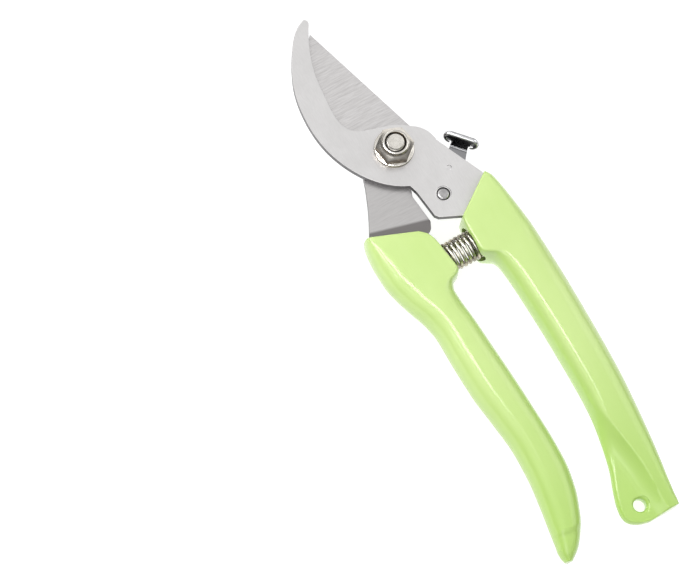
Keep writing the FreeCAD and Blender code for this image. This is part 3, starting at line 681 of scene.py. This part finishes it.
def tab_rim():
    """The rolled edge, from one side of the neck round the head to the other side."""
    end = TAB_NECK + NECK_FLARE
    path = [(end, TAB_HEAD_LOW)] + tab_head(0.0) + [(-end, TAB_HEAD_LOW)]
    count = len(path)
    vertices = []
    for index, (a, u) in enumerate(path):
        before, after = path[max(index - 1, 0)], path[min(index + 1, count - 1)]
        along = Vector((after[0] - before[0], after[1] - before[1])).normalized()
        for k in range(RIM_SIDES):
            angle = 2.0 * math.pi * k / RIM_SIDES
            shift = RIM_RADIUS * math.cos(angle)
            depth = RIM_DEPTH + RIM_STRETCH * RIM_RADIUS * math.sin(angle)
            vertices.append(tab_place(a + along.y * shift, u - along.x * shift, depth))
    return make_object("rim", vertices, tube_faces(count, RIM_SIDES))


def make_catch(material):
    """The CAD lever's sheet, with a thumb tab whose head has a rolled rim round a hollow face."""
    catch = copy_of_node("latch_lever", "thumb_catch")
    work = bmesh.new()
    work.from_mesh(catch.data)
    cut = bmesh.ops.bisect_plane(
        work, geom=work.verts[:] + work.edges[:] + work.faces[:], dist=CUT_TOLERANCE,
        plane_co=at(0.0, 0.0, LEVER_CUT), plane_no=(0, 0, 1), clear_outer=True,
    )
    bmesh.ops.edgenet_fill(work, edges=[e for e in cut["geom_cut"] if isinstance(e, bmesh.types.BMEdge)])
    work.to_mesh(catch.data)
    work.free()
    fix_normals(catch)
    flared = TAB_NECK + NECK_FLARE
    neck = [
        (-TAB_NECK, NECK_FOOT), (TAB_NECK, NECK_FOOT), (TAB_NECK, NECK_TOP),
        (flared, NECK_END), (-flared, NECK_END), (-TAB_NECK, NECK_TOP),
    ]
    boolean(catch, tab_sheet("neck", neck), "UNION")
    boolean(catch, tab_sheet("head", tab_head(HEAD_INSET)), "UNION")
    boolean(catch, tab_rim(), "UNION")
    bevel(catch, CATCH_EDGE, CATCH_EDGE_ANGLE)
    return finish_piece(catch, material, "latch", "latch_lever", CATCH_SHARP)


# ----------------------------------------------------------------------------------------------
# Return spring
# ----------------------------------------------------------------------------------------------
SPRING_LEFT = -7.2
SPRING_RIGHT = 10.3
SPRING_COIL = 4.55
SPRING_WIRE = 0.6
SPRING_TURNS = 10.0
SPRING_STEPS_PER_TURN = 56
SPRING_SIDES = 12

# How much the end turns close up, how fast that fades along the wire, and how uneven the coil is.
CLOSING = 0.3
CLOSING_FADE = 2.0
WOBBLE = 0.05
WOBBLE_RATE = 1.7


def make_spring(material):
    """One round wire, its end turns closed up, that stretches between the two grips."""
    steps = int(SPRING_TURNS * SPRING_STEPS_PER_TURN)
    length = SPRING_RIGHT - SPRING_LEFT - 2.0 * SPRING_WIRE
    points = []
    for step in range(steps + 1):
        share = step / steps
        turn = share * SPRING_TURNS
        near_ends = math.exp(-turn * CLOSING_FADE) + math.exp(-(SPRING_TURNS - turn) * CLOSING_FADE)
        closed = 1.0 - CLOSING * near_ends
        angle = 2.0 * math.pi * turn
        along = SPRING_LEFT + SPRING_WIRE + length * (0.5 + (share - 0.5) * closed)
        coil = SPRING_COIL + WOBBLE * math.sin(WOBBLE_RATE * turn)
        points.append(at(along, SPRING_Y + coil * math.cos(angle), coil * math.sin(angle)))
    vertices = []
    for index, centre in enumerate(points):
        ahead = points[min(index + 1, steps)] - points[max(index - 1, 0)]
        ahead.normalize()
        outwards = centre - at(0.0, SPRING_Y)
        outwards.x = 0.0
        outwards = (outwards - ahead * outwards.dot(ahead)).normalized()
        side = ahead.cross(outwards)
        for k in range(SPRING_SIDES):
            angle = 2.0 * math.pi * k / SPRING_SIDES
            spoke = outwards * math.cos(angle) + side * math.sin(angle)
            vertices.append(centre + spoke * SPRING_WIRE * MM)
    spring = make_object("return_spring_coil", vertices, tube_faces(steps + 1, SPRING_SIDES))
    finish_piece(spring, material, None, "return_spring", SPRING_SHARP)
    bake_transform(spring)
    return spring


# ----------------------------------------------------------------------------------------------
# Materials: every one is procedural, in object space, so it holds still on the piece
# ----------------------------------------------------------------------------------------------
RANGE_SOCKETS = ("From Min", "From Max", "To Min", "To Max")

# Places of the colour sockets on a Mix node that is set to RGBA.
MIX_FIRST, MIX_SECOND, MIX_RESULT = 6, 7, 2


class Material:
    """A Principled material and short calls for the nodes that feed it."""

    def __init__(self, name, **sockets):
        self.material = bpy.data.materials.new(name)
        self.material.use_nodes = True
        self.nodes = self.material.node_tree.nodes
        self.links = self.material.node_tree.links
        self.shader = self.nodes["Principled BSDF"]
        for socket, value in sockets.items():
            self.shader.inputs[socket.replace("_", " ")].default_value = value
        self.coordinates = self.nodes.new("ShaderNodeTexCoord").outputs["Object"]

    def feed(self, socket, source):
        self.links.new(source, self.shader.inputs[socket])

    def stretched(self, scale, turn_degrees=0.0):
        """Object coordinates, turned about Z and scaled, for grain that runs one way."""
        mapping = self.nodes.new("ShaderNodeMapping")
        mapping.vector_type = "POINT"
        mapping.inputs["Rotation"].default_value = (0.0, 0.0, math.radians(turn_degrees))
        mapping.inputs["Scale"].default_value = scale
        self.links.new(self.coordinates, mapping.inputs["Vector"])
        return mapping.outputs["Vector"]

    def noise(self, scale, detail=3.0, roughness=0.5, vector=None):
        node = self.nodes.new("ShaderNodeTexNoise")
        node.inputs["Scale"].default_value = scale
        node.inputs["Detail"].default_value = detail
        node.inputs["Roughness"].default_value = roughness
        self.links.new(vector or self.coordinates, node.inputs["Vector"])
        return node.outputs["Fac"]

    def remap(self, source, low, high, to_low, to_high):
        node = self.nodes.new("ShaderNodeMapRange")
        for socket, value in zip(RANGE_SOCKETS, (low, high, to_low, to_high)):
            node.inputs[socket].default_value = value
        self.links.new(source, node.inputs["Value"])
        return node.outputs["Result"]

    def mix(self, factor, first, second):
        """Mix two colours, given as values or as node outputs."""
        node = self.nodes.new("ShaderNodeMix")
        node.data_type = "RGBA"
        self.links.new(factor, node.inputs["Factor"])
        for socket, colour in ((node.inputs[MIX_FIRST], first), (node.inputs[MIX_SECOND], second)):
            if isinstance(colour, tuple):
                socket.default_value = (*colour, 1.0)
            else:
                self.links.new(colour, socket)
        return node.outputs[MIX_RESULT]

    def math(self, operation, first, second):
        node = self.nodes.new("ShaderNodeMath")
        node.operation = operation
        for socket, value in zip(node.inputs, (first, second)):
            if isinstance(value, (int, float)):
                socket.default_value = value
            else:
                self.links.new(value, socket)
        return node.outputs["Value"]

    def axes(self):
        node = self.nodes.new("ShaderNodeSeparateXYZ")
        self.links.new(self.coordinates, node.inputs["Vector"])
        return node.outputs["X"], node.outputs["Y"], node.outputs["Z"]

    def sides(self, low=0.35, high=0.9):
        """1 on faces that stand upright, 0 on faces that look up or down."""
        split = self.nodes.new("ShaderNodeSeparateXYZ")
        self.links.new(self.nodes["Texture Coordinate"].outputs["Normal"], split.inputs["Vector"])
        return self.remap(self.math("ABSOLUTE", split.outputs["Z"], 0.0), low, high, 1.0, 0.0)

    def bump(self, height, distance, strength=1.0):
        node = self.nodes.new("ShaderNodeBump")
        node.inputs["Distance"].default_value = distance
        node.inputs["Strength"].default_value = strength
        self.links.new(height, node.inputs["Height"])
        self.feed("Normal", node.outputs["Normal"])


# A deeper green used as painted shade on the grips' flanks and towards their ends.
SHADED_LIME = (0.42, 0.64, 0.14)


def lime_plastic():
    """Glossy moulded plastic, clouded and streaked, with deeper green painted shade on the flanks and
    towards the ends.
    """
    made = Material("lime_plastic", IOR=1.5, Coat_Weight=0.5, Coat_Roughness=0.12)
    cloud = made.noise(60.0, 3.0)
    flow = made.noise(1.0, 2.0, vector=made.stretched((220.0, 25.0, 220.0)))
    tone = made.mix(made.remap(cloud, 0.3, 0.7, 0.0, 1.0), (0.52, 0.70, 0.235), (0.55, 0.72, 0.26))
    tone = made.mix(made.remap(flow, 0.35, 0.65, 0.0, 0.35), tone, (0.57, 0.74, 0.28))
    along = made.axes()[1]
    # Painted shade: deeper green towards the grips' ends.
    tone = made.mix(made.remap(along, -0.035, -0.095, 0.0, 0.9), tone, SHADED_LIME)
    # Painted shade: deeper green on the flanks.
    flank = made.remap(made.sides(0.25, 0.85), 0.0, 1.0, 0.0, 0.4)
    made.feed("Base Color", made.mix(flank, tone, SHADED_LIME))
    made.feed("Roughness", made.remap(made.noise(900.0, 2.0), 0.3, 0.7, 0.20, 0.25))
    made.bump(made.math("ADD", made.noise(420.0, 2.0), made.noise(130.0, 1.0)), 0.000012, 0.5)
    return made.material


def satin_steel():
    """The hook plate: smudged satin metal with fine grinding lines, and painted shade on its upright
    edge faces.
    """
    made = Material("hook_satin_steel", Metallic=1.0)
    smudge = made.noise(90.0, 4.0, 0.6)
    face = made.mix(made.remap(smudge, 0.35, 0.65, 0.0, 1.0), (0.895, 0.88, 0.873), (0.955, 0.94, 0.935))
    fine = made.noise(1.0, 4.0, 0.7, made.stretched((5200.0, 420.0, 420.0), -35.0))
    face = made.mix(made.remap(fine, 0.4, 0.62, 0.0, 0.3), face, (0.76, 0.75, 0.745))
    # Painted shade: the upright edge faces are dark.
    made.feed("Base Color", made.mix(made.sides(), face, (0.12, 0.115, 0.12)))
    made.feed("Roughness", made.remap(made.noise(700.0, 5.0, 0.7), 0.3, 0.7, 0.30, 0.42))
    made.bump(fine, 0.000004, 0.35)
    return made.material


BLADE_GRAIN_TURN = 37.0

# The rolled band starts this far behind the pivot, in metres, and its border slants by this much.
ROLLED_START = 0.0261
ROLLED_SLANT = 0.27
ROLLED_BORDER = 0.0004
# Over this distance either side of the pivot, in metres, painted shade on the ground face grows towards
# the grip.
GRIP_SHADE_REACH = 0.015


def brushed_blade_steel():
    """Ground across the blade in coarse lines; the band next to the grip is left as rolled. Painted
    shade darkens the face towards the grip and on the upright edge faces.
    """
    made = Material("blade_brushed_steel", Metallic=1.0)
    fine = made.noise(1.0, 5.0, 0.75, made.stretched((260.0, 7000.0, 260.0), BLADE_GRAIN_TURN))
    coarse = made.noise(1.0, 3.0, 0.6, made.stretched((120.0, 1700.0, 120.0), BLADE_GRAIN_TURN))
    grain = made.math("ADD", made.math("MULTIPLY", fine, 0.65), made.math("MULTIPLY", coarse, 0.35))
    bright = made.mix(made.remap(grain, 0.36, 0.64, 0.0, 1.0), (0.64, 0.622, 0.617), (0.99, 0.97, 0.965))
    x, y, _ = made.axes()
    slant = made.math("ADD", made.math("MULTIPLY", x, ROLLED_SLANT), y)
    edge = (PIVOT.y - ROLLED_START) + ROLLED_SLANT * PIVOT.x
    rolled = made.remap(slant, edge - ROLLED_BORDER, edge + ROLLED_BORDER, 1.0, 0.0)
    # Painted shade: the ground face darkens towards the grip.
    grip_end_shade = made.remap(y, PIVOT.y + GRIP_SHADE_REACH, PIVOT.y - GRIP_SHADE_REACH, 0.0, 0.6)
    face = made.mix(rolled, made.mix(grip_end_shade, bright, (0.60, 0.587, 0.58)), (0.285, 0.27, 0.268))
    # Painted shade: the upright edge faces are dark.
    made.feed("Base Color", made.mix(made.sides(), face, (0.15, 0.145, 0.15)))
    ground_rough = made.remap(grain, 0.35, 0.65, 0.40, 0.26)
    made.feed("Roughness", made.math("ADD", ground_rough, made.math("MULTIPLY", rolled, 0.14)))
    made.bump(grain, 0.00002, 0.5)
    return made.material


# How much lighter the patches of painted reflection are than the painted shade on upright faces.
REFLECTION_PATCH_GAIN = 2.4


def bright_plating(name, light, dark, rough_low, rough_high, grain=500.0, upright=None):
    """Plated metal, slightly uneven and pitted. Its upright faces can carry painted shade, with lighter
    patches of painted reflection.
    """
    made = Material(name, Metallic=1.0)
    tone = made.mix(made.remap(made.noise(grain, 3.0), 0.35, 0.65, 0.0, 1.0), dark, light)
    if upright:
        # Painted shade on the upright faces, broken by lighter patches of painted reflection.
        reflection_patches = made.remap(made.noise(420.0, 2.0), 0.44, 0.58, 0.0, 1.0)
        streaked = made.mix(reflection_patches, upright, tuple(REFLECTION_PATCH_GAIN * value for value in upright))
        tone = made.mix(made.sides(0.45, 0.95), tone, streaked)
    made.feed("Base Color", tone)
    pits = made.noise(grain * 2.0, 4.0, 0.7)
    made.feed("Roughness", made.remap(pits, 0.3, 0.7, rough_low, rough_high))
    made.bump(made.noise(grain * 3.0, 2.0), 0.000006, 0.4)
    return made.material


# Between these heights over the parting height, in metres, the painted shade on the catch's foot fades
# out.
SHADED_FOOT_LOW = 0.003
SHADED_FOOT_HIGH = 0.0042


def catch_chrome():
    """Chrome, bright on the rolled rim, with painted shade below the head and on its upright faces."""
    made = Material("catch_chrome", Metallic=1.0)
    cloud = made.remap(made.noise(500.0, 3.0), 0.35, 0.65, 0.0, 1.0)
    tone = made.mix(cloud, (0.74, 0.74, 0.76), (0.86, 0.86, 0.87))
    # Painted shade: the foot below the head is darker.
    foot = made.remap(made.axes()[2], PIVOT.z + SHADED_FOOT_LOW, PIVOT.z + SHADED_FOOT_HIGH, 1.0, 0.0)
    tone = made.mix(foot, tone, (0.36, 0.36, 0.37))
    # Painted shade: the upright faces are darker.
    made.feed("Base Color", made.mix(made.sides(0.3, 0.75), tone, (0.27, 0.27, 0.275)))
    made.feed("Roughness", made.remap(made.noise(1000.0, 4.0, 0.7), 0.3, 0.7, 0.08, 0.18))
    made.bump(made.noise(1500.0, 2.0), 0.000006, 0.4)
    return made.material


def dark_nylon():
    """The nut's locking ring."""
    made = Material("dark_nylon", IOR=1.5)
    made.feed("Base Color", made.mix(made.noise(900.0, 3.0), (0.012, 0.012, 0.013), (0.03, 0.03, 0.032)))
    made.feed("Roughness", made.remap(made.noise(1500.0, 2.0), 0.3, 0.7, 0.5, 0.7))
    made.bump(made.noise(1200.0, 3.0), 0.00002, 0.5)
    return made.material


def floor_material():
    """White acrylic table, lit from below as in product photography."""
    made = Material("studio_floor", Roughness=0.6, Emission_Strength=0.8)
    made.shader.inputs["Emission Color"].default_value = (1.0, 1.0, 1.0, 1.0)
    speckle = made.remap(made.noise(40.0, 3.0), 0.3, 0.7, 0.0, 1.0)
    made.feed("Base Color", made.mix(speckle, (0.48, 0.48, 0.48), (0.52, 0.52, 0.52)))
    return made.material


# ----------------------------------------------------------------------------------------------
# Studio
# ----------------------------------------------------------------------------------------------
CAMERA_PLACE = at(-191.97, -198.03, 701.5)
CAMERA_RIGHT = Vector((0.8596, -0.5063, 0.0674))
CAMERA_UP = Vector((0.4662, 0.8316, 0.3016))
CAMERA_LENS = 122.87
CAMERA_SENSOR = 36.0
FLOOR_HALF = 1.5
FLOOR_DROP = 0.0003

# The world's strength against how far up a direction points: from, to, and the strengths there.
SKY_RANGE = (0.10, 0.80, 0.12, 0.75)


def make_camera():
    """The photograph's viewing angle: 18 degrees off straight down, with a long lens."""
    data = bpy.data.cameras.new("camera")
    data.lens = CAMERA_LENS
    data.sensor_width = CAMERA_SENSOR
    data.clip_start, data.clip_end = 0.01, 20.0
    camera = bpy.data.objects.new("camera", data)
    back = CAMERA_RIGHT.cross(CAMERA_UP).normalized()
    up = back.cross(CAMERA_RIGHT).normalized()
    turn = Matrix((CAMERA_RIGHT.normalized(), up, back)).transposed().to_4x4()
    camera.matrix_world = Matrix.Translation(CAMERA_PLACE) @ turn
    bpy.context.scene.collection.objects.link(camera)
    bpy.context.scene.camera = camera


def make_floor():
    """A square just below the part's lowest point, so the two never share a plane."""
    corners = [(-1.0, -1.0), (1.0, -1.0), (1.0, 1.0), (-1.0, 1.0)]
    vertices = [(FLOOR_HALF * x, FLOOR_HALF * y, -FLOOR_DROP) for x, y in corners]
    floor = make_object("floor", vertices, [[0, 1, 2, 3]])
    floor.data.materials.append(floor_material())


def area_light(name, place, target, size, power):
    """A white softbox that looks at its target: width and height in metres, power in watts."""
    data = bpy.data.lights.new(name, "AREA")
    data.shape = "RECTANGLE"
    data.size, data.size_y = size
    data.energy = power
    light = bpy.data.objects.new(name, data)
    light.location = place
    light.rotation_mode = "QUATERNION"
    light.rotation_quaternion = (Vector(target) - Vector(place)).to_track_quat("-Z", "Y")
    bpy.context.scene.collection.objects.link(light)
    return light


def flag_off_plates(light, pieces):
    """Let a softbox reach only these pieces, so its mirror image doesn't burn out the flat steel."""
    receivers = bpy.data.collections.new(light.name + "_receivers")
    for piece in pieces:
        receivers.objects.link(piece)
    light.light_linking.receiver_collection = receivers


def make_world():
    """Soft white overhead that falls off to grey at the horizon."""
    world = bpy.data.worlds.new("studio")
    bpy.context.scene.world = world
    world.use_nodes = True
    nodes, links = world.node_tree.nodes, world.node_tree.links
    coordinates = nodes.new("ShaderNodeTexCoord").outputs["Generated"]
    split = nodes.new("ShaderNodeSeparateXYZ")
    links.new(coordinates, split.inputs["Vector"])
    ramp = nodes.new("ShaderNodeMapRange")
    for socket, value in zip(RANGE_SOCKETS, SKY_RANGE):
        ramp.inputs[socket].default_value = value
    links.new(split.outputs["Z"], ramp.inputs["Value"])
    links.new(ramp.outputs["Result"], nodes["Background"].inputs["Strength"])
    nodes["Background"].inputs["Color"].default_value = (1.0, 1.0, 1.0, 1.0)


def make_lights(not_plates):
    middle = at(0.0, -45.0)
    key = area_light("key_softbox", at(-235.0, 130.0, 300.0), at(0.0, -35.0), (0.20, 0.20), 0.60)
    overhead = area_light("overhead_softbox", at(-110.0, 70.0, 470.0), middle, (0.07, 0.26), 0.50)
    flag_off_plates(key, not_plates)
    flag_off_plates(overhead, not_plates)
    area_light("fill_softbox", at(-430.0, -330.0, 640.0), middle, (0.5, 0.5), 1.0)
    area_light("right_softbox", at(420.0, -150.0, 350.0), middle, (0.4, 0.4), 0.45)
    area_light("strip_light", at(-60.0, 420.0, 260.0), middle, (0.6, 0.08), 0.35)


# ----------------------------------------------------------------------------------------------
# The whole scene
# ----------------------------------------------------------------------------------------------
make_camera()
make_world()
make_floor()

plastic = lime_plastic()
bolt_zinc = bright_plating("bolt_zinc", (0.86, 0.83, 0.77), (0.78, 0.75, 0.69), 0.22, 0.36)
# The nut's, the rivet's and the spring's upright colours are painted shade.
nut_nickel = bright_plating(
    "nut_nickel", (0.92, 0.89, 0.83), (0.82, 0.78, 0.71), 0.14, 0.24, upright=(0.13, 0.11, 0.085)
)
rivet_steel = bright_plating(
    "rivet_steel", (0.62, 0.61, 0.61), (0.48, 0.47, 0.47), 0.14, 0.26, upright=(0.14, 0.14, 0.14)
)
spring_nickel = bright_plating(
    "spring_nickel", (0.92, 0.89, 0.83), (0.80, 0.77, 0.70), 0.10, 0.18,
    grain=800.0, upright=(0.26, 0.235, 0.19),
)
make_plate("hook_plate", satin_steel(), "hook_side", HOOK_EDGE)
make_plate("blade_plate", brushed_blade_steel(), "blade_side", BLADE_EDGE)
make_lights([
    make_hook_grip(plastic),
    make_blade_grip(plastic),
    make_plate("pivot_washer", bolt_zinc, "hook_side", WASHER_EDGE),
    make_nut(nut_nickel),
    make_nut_insert(dark_nylon()),
    make_bolt(bolt_zinc),
    make_catch(catch_chrome()),
    make_rivet(rivet_steel),
    make_spring(spring_nickel),
])

bpy.context.scene.view_settings.view_transform = "Standard"
